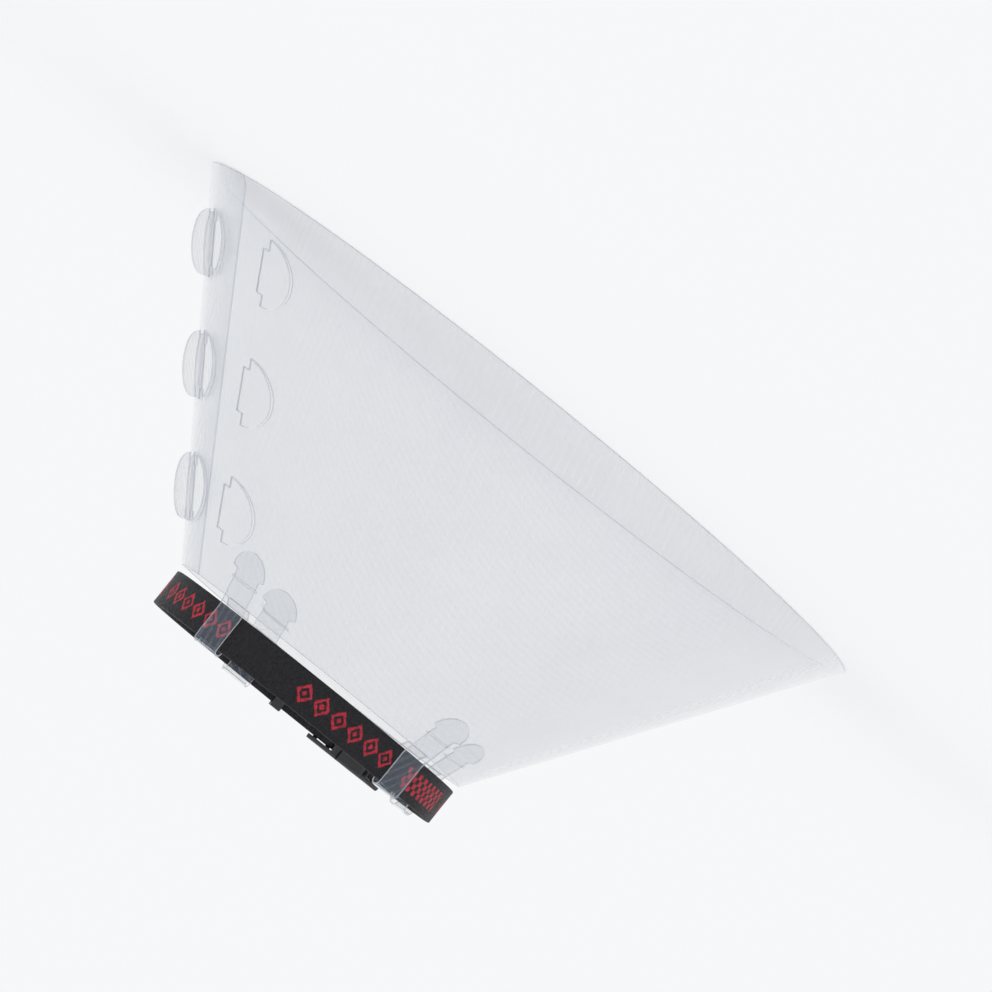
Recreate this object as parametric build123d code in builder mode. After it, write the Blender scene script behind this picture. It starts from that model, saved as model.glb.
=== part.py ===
"""Elizabethan collar: a rolled plastic cone, closed by mushroom tongues and hung on a webbing neck strap.

Millimetres, +Z up. The cone stands on its rim, with the rim plane at z = 0 and the neck uppermost.
The seam lies towards +X. Angles are in degrees about +Z, from +X.
"""

from build123d import *
from math import atan2, cos, degrees, hypot, radians, sin, sqrt
import os

os.makedirs("parts", exist_ok=True)

# ---------------------------------------------------------------- cone sheet
rim_radius = 151.0
neck_radius = 66.0
cone_height = 123.4
sheet_thickness = 0.8
layer_pitch = 1.05  # from the middle of one layer to the middle of the next, square to the sheet
inner_end = -25.0  # angle where the sheet's inner end lies
junction = 180.0  # angle where the inner arc of the roll passes into the outer arc
outer_end = 372.0  # angle where the sheet's outer end lies, a full turn and the overlap further on

# ---------------------------------------------------------------- mushroom tongues
closure_angle = -8.5  # hinge line of the column in use
spare_angle = -35.0  # hinge line of the next size
first_row = 29.7  # slant distance from the neck edge to the first row
row_pitch = 45.4
rows = 3
tongue_neck_width = 16.4
tongue_neck_length = 4.4
tongue_head_width = 25.0
tongue_head_length = 17.6
tongue_gap = 0.4  # clearance round a tongue in its cut-out
hinge_gap = 0.3  # each side of a tongue's hinge line
outer_lift = 30.0  # how far the locked tongues stand out
inner_lift = 20.0
tongue_reach = 20.0  # degrees of the sheet that hold a tongue
cutter_reach = 4.0  # how far a cut-out's cutter goes through the sheet, each way

# ---------------------------------------------------------------- neck strap
strap_radius = 65.35  # middle of the webbing
strap_thickness = 1.6
strap_width = 15.0
strap_low = 126.4
strap_high = strap_low + strap_width

# ---------------------------------------------------------------- neck loops
loop_angles = (67.5, 147.5, 227.5, 307.5)
loop_width = 12.0
loop_inner_leg = 63.5  # radius of the leg inside the strap
loop_outer_leg = 67.0  # radius of the leg outside the strap
loop_bend_z = 141.6  # where the legs meet the bend over the strap's edge
loop_crease_z = 126.0
loop_crease_radius = 2.0
loop_hinge_gap = 0.45
loop_flare_z = 127.2  # where the outer leg starts to lean out to its window
loop_flare_radius = 4.0
loop_slot_slant = 8.6  # slant distance from the neck edge to where the tab enters the cone
loop_barb_reach = 3.9  # from there to the barbs of the head
loop_head_length = 8.6
loop_head_width = 17.0
loop_window_gap = 0.6
loop_window_start = 5.0  # slant distances of the window's two ends
loop_window_end = 23.0

# ---------------------------------------------------------------- buckle
buckle_low = 124.2
buckle_high = 143.6
buckle_inner = 63.9
buckle_outer = 70.8
rail_depth = 1.7
buckle_round = 1.2
bar_radius = 1.0
bar_centre = 67.3  # radius of the bars that the webbing passes round
wrap_clearance = 0.15
lock_bar_centre = 69.5
tail_radius = 67.3
turnback_radius = 67.1

tail_end = 79.5
tail_dip_angle = 101.6  # where the tail leaves the neck's curve for the plug's bar
lock_bar_angle = 101.2
plug_start = 99.5
plug_bar_angle = 106.9
plug_block_start = 109.6
plug_block_end = 112.3
socket_start = 113.0
socket_cavity_end = 123.2
socket_end = 129.0
socket_bar_angle = 127.4
socket_slot_start = 124.5
sewn_start = 130.8  # where the turn-back lies down on the ring
turnback_end = 136.5
keeper_start = 83.0
keeper_end = 87.0
keeper_clearance = 0.3
keeper_wall = 1.1

arm_start = 112.75
arm_end = 121.3
arm_width = 2.4
barb_start = 116.9
barb_chamfer = 1.4
barb_window = (116.3, 121.9)
cavity_wall_z = 1.8
cavity_wall_r = 1.4
arm_inner = 65.9
arm_outer = 68.8
arm_wall_gap = 0.5
barb_inset = 0.2  # from the moulding's faces to the barbs
guide_width = 3.0
guide_end = 122.6
stitch_height = 0.3
stitch_angles = (131.6, 133.5, 135.4)
stitch_span = 0.7
stitch_inset = 1.0

# ---------------------------------------------------------------- worked out
slant_length = hypot(rim_radius - neck_radius, cone_height)
sin_half = (rim_radius - neck_radius) / slant_length
cos_half = cone_height / slant_length
arc_step = layer_pitch / cos_half / 2  # how much larger the outer arc of the roll is
half_wall = sheet_thickness / cos_half / 2
inner_arc = {"centre": (-arc_step, arc_step / 2), "grow": -arc_step / 2}
outer_arc = {"centre": (0.0, arc_step / 2), "grow": arc_step / 2}
wrap_radius = bar_radius + wrap_clearance + strap_thickness / 2
plate_half = sheet_thickness / 2


def polar(radius, angle, z=None):
    """The point at a radius and an angle about Z."""
    x = radius * cos(radians(angle))
    y = radius * sin(radians(angle))
    return (x, y) if z is None else (x, y, z)


def upright(angle, centre=(0.0, 0.0)):
    """The plane through a vertical axis at an angle, with local x outwards and local y up."""
    across = (sin(radians(angle)), -cos(radians(angle)), 0)
    return Plane(origin=(*centre, 0), x_dir=(*polar(1, angle), 0), z_dir=across)


def outwards(angle):
    """The cone's outward normal at an angle."""
    return (cos_half * cos(radians(angle)), cos_half * sin(radians(angle)), sin_half)


def up_slope(angle):
    """The direction up the cone's ruling, from rim to neck."""
    return (-sin_half * cos(radians(angle)), -sin_half * sin(radians(angle)), cos_half)


def on_sheet(arc, angle, slant):
    """The point in the middle of the sheet, at a slant distance below the neck edge."""
    radius = neck_radius + arc["grow"] + slant * sin_half
    x, y = polar(radius, angle)
    return (arc["centre"][0] + x, arc["centre"][1] + y, cone_height - slant * cos_half)


def sheet_arc(arc, start, end):
    """A stretch of one arc of the rolled sheet, from rim to neck."""
    low = rim_radius + arc["grow"]
    high = neck_radius + arc["grow"]
    with BuildPart() as stretch:
        with BuildSketch(upright(start, arc["centre"])):
            with BuildLine():
                Polyline(
                    (low - half_wall, 0),
                    (low + half_wall, 0),
                    (high + half_wall, cone_height),
                    (high - half_wall, cone_height),
                    close=True,
                )
            make_face()
        revolve(axis=Axis((*arc["centre"], 0), (0, 0, 1)), revolution_arc=end - start)
    return stretch.part


def mushroom(plane, gap):
    """A tongue's outline on a plane: x along the tongue from its hinge line, y along that line."""
    start = hinge_gap if gap == 0 else -hinge_gap
    barb = tongue_neck_length - gap
    half_neck = tongue_neck_width / 2 + gap
    half_head = tongue_head_width / 2 + gap
    reach = tongue_head_length + 2 * gap
    with BuildSketch(plane) as outline:
        with BuildLine():
            EllipticalCenterArc((barb, 0), reach, half_head, start_angle=-90, arc_size=180)
            Polyline(
                (barb, half_head),
                (barb, half_neck),
                (start, half_neck),
                (start, -half_neck),
                (barb, -half_neck),
                (barb, -half_head),
            )
        make_face()
    return outline.sketch


def tongue_plane(angle, row, depth=0.0):
    """A tongue's plane at its hinge, depth below the outer layer: x to its head, z out of the cone."""
    point = Vector(*on_sheet(outer_arc, angle, first_row + row * row_pitch))
    point = point - Vector(*outwards(angle)) * depth
    towards_head = (sin(radians(angle)), -cos(radians(angle)), 0)
    return Plane(origin=point, x_dir=towards_head, z_dir=outwards(angle))


def make_tongue(name, arc, angle, row, depth, lift):
    """A tongue, cut from its own layer and raised about its hinge line."""
    plane = tongue_plane(angle, row, depth)
    layer = sheet_arc(arc, angle - tongue_reach, angle + 1)
    outline = mushroom(plane, 0)
    with BuildPart() as tongue:
        add(layer)
        extrude(outline, amount=cutter_reach, both=True, mode=Mode.INTERSECT)
    raised = tongue.part.rotate(Axis(plane.origin, up_slope(angle)), lift)
    raised.label = name
    export_step(raised, f"parts/{name}.step")


def neck_edge_radius(angle):
    """Distance from the Z axis to the middle of the sheet at the neck edge."""
    arc = inner_arc if angle < junction else outer_arc
    centre = Vector(*arc["centre"])
    along = centre.dot(Vector(*polar(1, angle)))
    aside = centre.dot(Vector(*polar(1, angle + 90)))
    return along + sqrt((neck_radius + arc["grow"]) ** 2 - aside**2)


def loop_window(angle):
    """The keyhole that a loop's head passes through, on the plane of the sheet."""
    neck_edge = polar(neck_edge_radius(angle), angle, cone_height)
    down = tuple(-c for c in up_slope(angle))
    plane = Plane(origin=neck_edge, x_dir=down, z_dir=outwards(angle))
    half_neck = loop_width / 2 + loop_window_gap
    half_head = loop_head_width / 2 + loop_window_gap
    barb = loop_slot_slant + loop_barb_reach - 2 * loop_window_gap
    with BuildSketch(plane) as window:
        with BuildLine():
            EllipticalCenterArc(
                (barb, 0), loop_window_end - barb, half_head, start_angle=-90, arc_size=180
            )
            Polyline(
                (barb, half_head),
                (barb, half_neck),
                (loop_window_start, half_neck),
                (loop_window_start, -half_neck),
                (barb, -half_neck),
                (barb, -half_head),
            )
        make_face()
    return window.sketch


def make_cone_sheet():
    """The rolled sheet, with its closure cut-outs and loop windows."""
    inner_turn = sheet_arc(inner_arc, inner_end, junction)
    outer_turn = sheet_arc(outer_arc, junction, outer_end)
    cut_outs = [
        mushroom(tongue_plane(angle, row), tongue_gap)
        for row in range(rows)
        for angle in (closure_angle, spare_angle)
    ]
    windows = [loop_window(angle) for angle in loop_angles]
    with BuildPart() as sheet:
        add(inner_turn)
        add(outer_turn)
        for outline in cut_outs + windows:
            extrude(outline, amount=cutter_reach, both=True, mode=Mode.SUBTRACT)
    sheet.part.label = "cone_sheet"
    export_step(sheet.part, "parts/cone_sheet.step")


def make_loop_band(name, angle):
    """A loop's fixed half: the leg inside the strap and the bend over the strap's edge."""
    edge = neck_edge_radius(angle)
    lean = (edge - loop_inner_leg) / (loop_crease_z - cone_height)
    half_angle = degrees(loop_width / 2 / strap_radius)
    bend_radius = (loop_outer_leg - loop_inner_leg) / 2
    with BuildPart() as band:
        with BuildSketch(upright(angle - half_angle)):
            with BuildLine() as path:
                FilletPolyline(
                    (edge + lean, cone_height - 1),
                    (loop_inner_leg, loop_crease_z),
                    (loop_inner_leg, loop_bend_z),
                    radius=loop_crease_radius,
                )
                CenterArc((loop_inner_leg + bend_radius, loop_bend_z), bend_radius, 180, -180)
            trace(path.line, line_width=sheet_thickness)
        revolve(axis=Axis.Z, revolution_arc=2 * half_angle)
        split(bisect_by=Plane.XY.offset(cone_height), keep=Keep.TOP)
    band.part.label = name
    export_step(band.part, f"parts/{name}.step")


def make_loop_tab(name, angle):
    """A loop's moving half: the leg outside the strap, with its mushroom head inside the cone."""
    slot_radius = neck_edge_radius(angle) + loop_slot_slant * sin_half
    slot_z = cone_height - loop_slot_slant * cos_half
    run = hypot(slot_radius - loop_outer_leg, slot_z - loop_flare_z)
    lean_out = (slot_radius - loop_outer_leg) / run
    lean_down = (slot_z - loop_flare_z) / run
    barb = (slot_radius + loop_barb_reach * lean_out, slot_z + loop_barb_reach * lean_down)
    outward = polar(1, angle)
    head_plane = Plane(
        origin=polar(barb[0], angle, barb[1]),
        x_dir=(lean_out * outward[0], lean_out * outward[1], lean_down),
        z_dir=(-lean_down * outward[0], -lean_down * outward[1], lean_out),
    )
    with BuildPart() as tab:
        with BuildSketch(upright(angle)):
            with BuildLine() as path:
                FilletPolyline(
                    (loop_outer_leg, loop_bend_z - loop_hinge_gap),
                    (loop_outer_leg, loop_flare_z),
                    barb,
                    radius=loop_flare_radius,
                )
            trace(path.line, line_width=sheet_thickness)
        extrude(amount=loop_width / 2, both=True)
        with BuildSketch(head_plane):
            with BuildLine():
                EllipticalCenterArc(
                    (0, 0), loop_head_length, loop_head_width / 2, start_angle=-90, arc_size=180
                )
                Line((0, -loop_head_width / 2), (0, loop_head_width / 2))
            make_face()
        extrude(amount=plate_half, both=True)
    tab.part.label = name
    export_step(tab.part, f"parts/{name}.step")


def arc_block(inner, outer, low, high, start, end):
    """A block bent round the Z axis, between two radii, two heights and two angles."""
    with BuildPart() as block:
        with BuildSketch(upright(start)):
            with Locations(((inner + outer) / 2, (low + high) / 2)):
                Rectangle(outer - inner, high - low)
        revolve(axis=Axis.Z, revolution_arc=end - start)
    return block.part


def soften(part):
    """Rounds a moulding's edges that run round the neck."""
    with BuildPart() as softened:
        add(part)
        fillet(softened.edges().filter_by(GeomType.CIRCLE), buckle_round)
    return softened.part


def upright_bar(radius_at, angle):
    """A round bar between the buckle's rails, parallel to Z."""
    low = buckle_low + rail_depth / 2
    high = buckle_high - rail_depth / 2
    with BuildPart() as bar:
        with BuildSketch(Plane.XY.offset(low)):
            with Locations(polar(radius_at, angle)):
                Circle(bar_radius)
        extrude(amount=high - low)
    return bar.part


def webbing_slot(start, end):
    """The opening between the buckle's rails, right through the moulding."""
    low = buckle_low + rail_depth
    high = buckle_high - rail_depth
    return arc_block(buckle_inner - 1, buckle_outer + 1, low, high, start, end)


def make_neck_strap():
    """The webbing: tail, turn round the plug's bar, the ring round the neck, and the sewn turn-back."""
    tail_dip = polar(tail_radius, tail_dip_angle)
    plug_outer = polar(bar_centre + wrap_radius, plug_bar_angle)
    plug_far = polar(bar_centre, plug_bar_angle + degrees(wrap_radius / bar_centre))
    plug_inner = polar(strap_radius, plug_bar_angle)
    socket_inner = polar(strap_radius, socket_bar_angle)
    socket_far = polar(bar_centre, socket_bar_angle - degrees(wrap_radius / bar_centre))
    socket_outer = polar(bar_centre + wrap_radius, socket_bar_angle)
    with BuildPart() as strap:
        with BuildSketch(Plane.XY.offset(strap_low)):
            with BuildLine() as path:
                CenterArc((0, 0), tail_radius, tail_end, tail_dip_angle - tail_end)
                Spline(
                    tail_dip,
                    plug_outer,
                    tangents=(polar(1, tail_dip_angle + 90), polar(1, plug_bar_angle + 90)),
                )
                ThreePointArc(plug_outer, plug_far, plug_inner)
                CenterArc(
                    (0, 0), strap_radius, plug_bar_angle, socket_bar_angle - 360 - plug_bar_angle
                )
                ThreePointArc(socket_inner, socket_far, socket_outer)
                Spline(
                    socket_outer,
                    polar(turnback_radius, sewn_start),
                    tangents=(polar(1, socket_bar_angle + 90), polar(1, sewn_start + 90)),
                )
                CenterArc((0, 0), turnback_radius, sewn_start, turnback_end - sewn_start)
            trace(path.line, line_width=strap_thickness)
        extrude(amount=strap_width)
    strap.part.label = "neck_strap"
    export_step(strap.part, "parts/neck_strap.step")


def make_turnback_stitching():
    """Rows of thread across the turn-back, proud of the webbing."""
    surface = turnback_radius + strap_thickness / 2
    heights = (strap_low + stitch_inset, strap_high - stitch_inset)
    lines = [
        arc_block(surface, surface + stitch_height, *heights, angle, angle + stitch_span)
        for angle in stitch_angles
    ]
    with BuildPart() as stitching:
        add(lines)
    stitching.part.label = "turnback_stitching"
    export_step(stitching.part, "parts/turnback_stitching.step")


def make_strap_keeper():
    """The slide loop round the webbing and its tail."""
    inner = strap_radius - strap_thickness / 2 - keeper_clearance
    outer = tail_radius + strap_thickness / 2 + keeper_clearance
    low = strap_low - keeper_clearance
    high = strap_high + keeper_clearance
    outside = arc_block(
        inner - keeper_wall,
        outer + keeper_wall,
        low - keeper_wall,
        high + keeper_wall,
        keeper_start,
        keeper_end,
    )
    inside = arc_block(inner, outer, low, high, keeper_start - 1, keeper_end + 1)
    with BuildPart() as keeper:
        add(outside)
        add(inside, mode=Mode.SUBTRACT)
    keeper.part.label = "strap_keeper"
    export_step(keeper.part, "parts/strap_keeper.step")


def make_buckle_socket():
    """The socket half: a sleeve for the plug, side windows for its barbs, and a bar for the webbing."""
    cavity_low = buckle_low + cavity_wall_z
    cavity_high = buckle_high - cavity_wall_z
    cavity_inner = buckle_inner + cavity_wall_r
    cavity_outer = buckle_outer - cavity_wall_r
    shell = soften(
        arc_block(buckle_inner, buckle_outer, buckle_low, buckle_high, socket_start, socket_end)
    )
    cavity = arc_block(
        cavity_inner, cavity_outer, cavity_low, cavity_high, socket_start - 1, socket_cavity_end
    )
    windows = arc_block(
        cavity_inner, cavity_outer, buckle_low - 1, buckle_high + 1, *barb_window
    )
    slot = webbing_slot(socket_slot_start, socket_end + 1)
    bar = upright_bar(bar_centre, socket_bar_angle)
    with BuildPart() as socket:
        add(shell)
        for cut in (cavity, windows, slot):
            add(cut, mode=Mode.SUBTRACT)
        add(bar)
    socket.part.label = "buckle_female"
    export_step(socket.part, "parts/buckle_female.step")


def make_buckle_plug():
    """The plug half: ladder lock for the webbing, and the guide that enters the socket."""
    middle = (buckle_low + buckle_high) / 2
    frame = soften(
        arc_block(buckle_inner, buckle_outer, buckle_low, buckle_high, plug_start, plug_block_end)
    )
    slot = webbing_slot(plug_start - 1, plug_block_start)
    bars = [
        upright_bar(bar_centre, plug_bar_angle),
        upright_bar(lock_bar_centre, lock_bar_angle),
    ]
    guide = arc_block(
        arm_inner,
        arm_outer,
        middle - guide_width / 2,
        middle + guide_width / 2,
        plug_block_end - 1,
        guide_end,
    )
    with BuildPart() as plug:
        add(frame)
        add(slot, mode=Mode.SUBTRACT)
        add(bars)
        add(guide)
    plug.part.label = "buckle_male"
    export_step(plug.part, "parts/buckle_male.step")


def make_buckle_arm(name, side):
    """A sprung arm with its barb, above the guide for side 1 and below it for side -1."""
    middle = (buckle_low + buckle_high) / 2
    wall = (buckle_high - buckle_low) / 2 - cavity_wall_z - arm_wall_gap
    barb = (buckle_high - buckle_low) / 2 - barb_inset
    arm_z = sorted((middle + side * (wall - arm_width), middle + side * wall))
    barb_z = sorted((middle + side * (wall - arm_width), middle + side * barb))
    beam = arc_block(arm_inner, arm_outer, *arm_z, arm_start, arm_end)
    barb_block = arc_block(arm_inner, arm_outer, *barb_z, barb_start, arm_end)
    with BuildPart() as arm:
        add(beam)
        add(barb_block)
        barb_edges = arm.edges().filter_by(lambda e: abs(e.center().Z - middle) > barb - 0.1)
        tip = barb_edges.sort_by(lambda e: atan2(e.center().Y, e.center().X))[-1]
        chamfer(tip, barb_chamfer)
    arm.part.label = name
    export_step(arm.part, f"parts/{name}.step")


make_cone_sheet()
for row in range(rows):
    make_tongue(f"closure_tongue_outer_{row + 1}", outer_arc, closure_angle, row, 0, outer_lift)
    make_tongue(
        f"closure_tongue_inner_{row + 1}", inner_arc, closure_angle, row, layer_pitch, inner_lift
    )
    make_tongue(f"spare_tongue_{row + 1}", outer_arc, spare_angle, row, 0, 0)
for number, angle in enumerate(loop_angles, 1):
    make_loop_band(f"loop_band_{number}", angle)
    make_loop_tab(f"loop_tab_{number}", angle)
make_neck_strap()
make_turnback_stitching()
make_strap_keeper()
make_buckle_socket()
make_buckle_plug()
make_buckle_arm("buckle_arm_upper", 1)
make_buckle_arm("buckle_arm_lower", -1)
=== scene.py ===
"""The looks of the elizabethan collar: a die-cut, ribbed, frosted plastic sheet rolled into a cone,
its tongues and loops, and the woven webbing strap with its side-release buckle.

Metres, in the CAD's frame: the cone stands on its rim at z = 0, and the seam lies towards +X.
Angles are in degrees about +Z. Flat points are points of the sheet before it was rolled.
"""

from math import asin, cos, hypot, pi, radians, sin, sqrt

import bmesh
import bpy
import numpy as np
from mathutils import Matrix, Vector
from mathutils.geometry import delaunay_2d_cdt
from mathutils.kdtree import KDTree


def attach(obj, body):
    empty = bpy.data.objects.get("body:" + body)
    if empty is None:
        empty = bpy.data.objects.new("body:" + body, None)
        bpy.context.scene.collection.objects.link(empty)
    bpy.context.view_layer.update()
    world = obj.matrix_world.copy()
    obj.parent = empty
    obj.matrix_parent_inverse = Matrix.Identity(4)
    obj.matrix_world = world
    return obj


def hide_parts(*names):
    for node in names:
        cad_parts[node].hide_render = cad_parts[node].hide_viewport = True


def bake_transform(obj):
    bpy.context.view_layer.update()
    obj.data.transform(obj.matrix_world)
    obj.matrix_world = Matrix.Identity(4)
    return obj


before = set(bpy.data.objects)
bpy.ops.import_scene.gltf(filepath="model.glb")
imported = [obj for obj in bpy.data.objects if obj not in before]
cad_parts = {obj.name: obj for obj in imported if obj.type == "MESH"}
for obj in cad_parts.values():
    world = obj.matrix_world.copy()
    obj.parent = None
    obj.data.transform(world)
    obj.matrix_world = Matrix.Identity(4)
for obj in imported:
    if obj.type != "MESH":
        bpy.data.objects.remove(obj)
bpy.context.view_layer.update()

# ---------------------------------------------------------------- cone sheet
rim_radius = 0.151
neck_radius = 0.066
cone_height = 0.1234
sheet_thickness = 0.0008
layer_pitch = 0.00105
inner_end = -25.0
junction = 180.0
outer_end = 372.0
corner_radius = 0.005

rib_pitch = 0.00315
rib_angle = 291.4  # where the ribs run straight down the cone
rib_height = 0.00005
columns_per_rib = 4
row_step = 0.004  # between points along a rib
grid_squareness = 1.2  # of the grid's cells while the plane is squeezed
cut_step = 0.0009  # between points along a cut edge
neck_edge_step = 0.0012
rim_edge_step = 0.0016
end_edge_step = 0.002
corner_steps = 8
point_clearance = 0.45  # of a cut_step, between the grid's points and a cut edge
score_depth = 0.00014
score_half_width = 0.00045
score_step = 0.002
score_margin = 0.003  # between the score line and the sheet's edges
score_clearance = 0.0015  # between the score line and a tongue's hinge

# ---------------------------------------------------------------- mushroom tongues
closure_angle = -8.5
spare_angle = -35.0
first_row = 0.0297
row_pitch = 0.0454
rows = 3
tongue_neck_width = 0.0164
tongue_neck_length = 0.0044
tongue_head_width = 0.025
tongue_head_length = 0.0176
tongue_gap = 0.0003
outer_lift = 30.0
inner_lift = 20.0
spare_lift = 2.5
bend_length = 0.0022
head_steps = 44

# ---------------------------------------------------------------- neck loops
loop_angles = (67.5, 147.5, 227.5, 307.5)
loop_width = 0.012
inner_leg = 0.0635
outer_leg = 0.067
loop_bend_z = 0.1416
crease_z = 0.126
flare_z = 0.1272
slot_slant = 0.0086
slit_width = 0.0128
slit_half_gap = 0.0008
lip_spread = 0.0007
lip_reach = 0.006
lip_fade = 0.003
crease_radius = 0.003
flare_radius = 0.006
dive_radius = 0.012
dive_length = 0.0016  # how far the tab runs on straight past its slit
head_depth = 0.00135  # of the head's tip, inside the sheet's middle
barb_reach = 0.0039
loop_head_length = 0.0086
loop_head_width = 0.017
loop_step = 0.0008
tip_half_width = 0.0004
flatten_length = 0.008  # along which the tab loses the neck's roundness
turn_steps = 14  # round a half turn, of a loop or of the webbing
across_steps = 16
split_z = 0.1424  # height on the outer side of the bend where the tab takes over from the band

# ---------------------------------------------------------------- neck strap
strap_radius = 0.06535
strap_thickness = 0.0016
strap_low = 0.1264
strap_width = 0.015
bar_centre = 0.0673
wrap_radius = 0.00195
tail_radius = 0.0673
turnback_radius = 0.0671
tail_end = 79.5
tail_dip = 101.6
plug_bar_angle = 106.9
socket_bar_angle = 127.4
sewn_start = 130.8
turnback_end = 136.5
strap_step = 0.0007
curve_steps = 14
belly_share = 0.84  # the weave is a little thinner than its selvedges
selvedge_share = 0.9  # how far the selvedge's round end reaches, of half the thickness
selvedge_width = 0.0018
face_steps = 24
selvedge_steps = 6
end_thickness = 0.55  # of the sealed ends, compared with the rest
end_width = 0.985
motif_face_offset = 0.05  # added to the UV across the webbing on the face with the motif
stitch_angles = (131.9, 133.8, 135.7)
stitch_count = 6
stitch_margin = 0.0014
stitch_share = 0.88  # of the stitch pitch that its thread covers
stitch_rise = 0.00018
stitch_sink = 0.0003
stitch_slant = 0.00012
stitch_end_girth = 0.55  # compared with the rest of the thread
stitch_steps = 8
thread_radius = 0.0002
thread_flatness = 1.25
thread_sides = 8

# ---------------------------------------------------------------- mouldings
moulding_radius = 0.00025
moulding_crisp_angle = 40.0  # an edge that turns more than this is rounded
moulding_bodies = {
    "strap_keeper": "keeper",
    "buckle_female": "strap",
    "buckle_male": "strap",
    "buckle_arm_upper": "arm_upper",
    "buckle_arm_lower": "arm_lower",
}

# ---------------------------------------------------------------- stage
floor_radius = 30.0  # so that the floor's edge is at the horizon
floor_drop = 0.0003
floor_sides = 96
surround_colour = (0.93, 0.935, 0.95, 1)
softboxes = (  # place, width and power
    ((-1.6, -2.0, 2.6), 3.0, 11),
    ((2.4, -1.2, 1.8), 2.6, 6),
    ((0.6, 2.4, 2.2), 3.0, 8),
)

# ---------------------------------------------------------------- worked out
slant_length = hypot(rim_radius - neck_radius, cone_height)
sin_half = (rim_radius - neck_radius) / slant_length
cos_half = cone_height / slant_length
arc_step = layer_pitch / cos_half / 2
neck_rho = neck_radius / sin_half
rim_rho = neck_rho + slant_length
rib_turn = radians(rib_angle) * sin_half


# ---------------------------------------------------------------- the flat sheet and its roll
def flat_turn(angle):
    """The flat blank's angle, from the middle rib, for an angle on the rolled cone."""
    return radians(angle) * sin_half - rib_turn


def flat_point(angle, slant, ahead=0.0, down=0.0):
    """A flat point, moved along the sheet: ahead to smaller angles, and down towards the rim."""
    turn = flat_turn(angle)
    rho = neck_rho + slant + down
    return (rho * sin(turn) - ahead * cos(turn), rho * cos(turn) + ahead * sin(turn))


def ridge(flat):
    """How far a flat point lies up a rib, from 0 to 1."""
    phase = np.abs(flat[:, 0] / rib_pitch - np.round(flat[:, 0] / rib_pitch))
    return np.clip(1 - phase * columns_per_rib, 0, 1)


def rolled(flat):
    """Flat points on the middle of the rolled sheet, with the sheet's outward normals."""
    rho = np.hypot(flat[:, 0], flat[:, 1])
    angle = (np.arctan2(flat[:, 0], flat[:, 1]) + rib_turn) / sin_half
    outer = angle >= radians(junction)
    centre_x = np.where(outer, 0.0, -arc_step)
    grow = np.where(outer, arc_step / 2, -arc_step / 2)
    slant = rho - neck_rho
    radius = neck_radius + grow + slant * sin_half
    c, s = np.cos(angle), np.sin(angle)
    points = np.stack(
        (centre_x + radius * c, arc_step / 2 + radius * s, cone_height - slant * cos_half), axis=1
    )
    normals = np.stack((cos_half * c, cos_half * s, np.full_like(c, sin_half)), axis=1)
    return points, normals


def walk(corners, step, close=True):
    """Points along straight runs between corners, about a step apart."""
    points = []
    ends = corners[1:] + corners[:1] if close else corners[1:]
    for (x0, y0), (x1, y1) in zip(corners, ends):
        count = max(1, round(hypot(x1 - x0, y1 - y0) / step))
        points += [(x0 + (x1 - x0) * k / count, y0 + (y1 - y0) * k / count) for k in range(count)]
    if not close:
        points.append(corners[-1])
    return points


def inside(points, loops):
    """Which points lie inside an odd number of the closed loops."""
    found = np.zeros(len(points), bool)
    x, y = points[:, 0], points[:, 1]
    for loop in loops:
        for (x0, y0), (x1, y1) in zip(loop, loop[1:] + loop[:1]):
            if y0 == y1:
                continue
            crossed = (y0 > y) != (y1 > y)
            found ^= crossed & (x < (x1 - x0) * (y - y0) / (y1 - y0) + x0)
    return found


def rib_grid(loops, clearance):
    """Points on rib-aligned columns inside the loops, clear of their edges."""
    edge = [p for loop in loops for p in loop]
    xs, ys = [p[0] for p in edge], [p[1] for p in edge]
    column = rib_pitch / columns_per_rib
    columns = np.arange(np.floor(min(xs) / column), np.ceil(max(xs) / column) + 1) * column
    levels = np.arange(np.floor(min(ys) / row_step), np.ceil(max(ys) / row_step) + 1) * row_step
    grid = np.array(np.meshgrid(columns, levels)).reshape(2, -1).T
    return clear_of([tuple(p) for p in grid[inside(grid, loops)]], edge, clearance)


def triangulate(loops, extra=()):
    """Flat triangles that fill the first loop outside the others, through rib-aligned points.

    The plane is squeezed along the ribs meanwhile, so that the triangles' sides follow the columns.
    """
    squeeze = rib_pitch / columns_per_rib / row_step * grid_squareness
    points, edges = [], []
    for loop in loops:
        first = len(points)
        points += loop
        edges += [(first + k, first + (k + 1) % len(loop)) for k in range(len(loop))]
    grid = rib_grid(loops, cut_step * point_clearance)
    for line in extra:
        points += line
        grid = clear_of(grid, line, score_half_width)
    points += grid
    flat = [Vector((x, y * squeeze)) for x, y in points]
    verts, _, faces, _, _, _ = delaunay_2d_cdt(flat, edges, [], 0, 1e-9)
    flat = np.array([(v.x, v.y / squeeze) for v in verts])
    triangles = np.array(faces)
    middles = flat[triangles].mean(axis=1)
    triangles = triangles[inside(middles, loops)]
    used = np.unique(triangles)
    renumber = np.full(len(flat), -1)
    renumber[used] = np.arange(len(used))
    return flat[used], renumber[triangles]


def distances(points, others):
    """How far each flat point is from the nearest of the others."""
    tree = KDTree(len(others))
    for k, (x, y) in enumerate(others):
        tree.insert((x, y, 0), k)
    tree.balance()
    return np.array([tree.find((x, y, 0))[2] for x, y in points])


def clear_of(points, others, clearance):
    """The points that are further than the clearance from all the others."""
    return [p for p, d in zip(points, distances(points, others)) if d > clearance]


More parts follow.
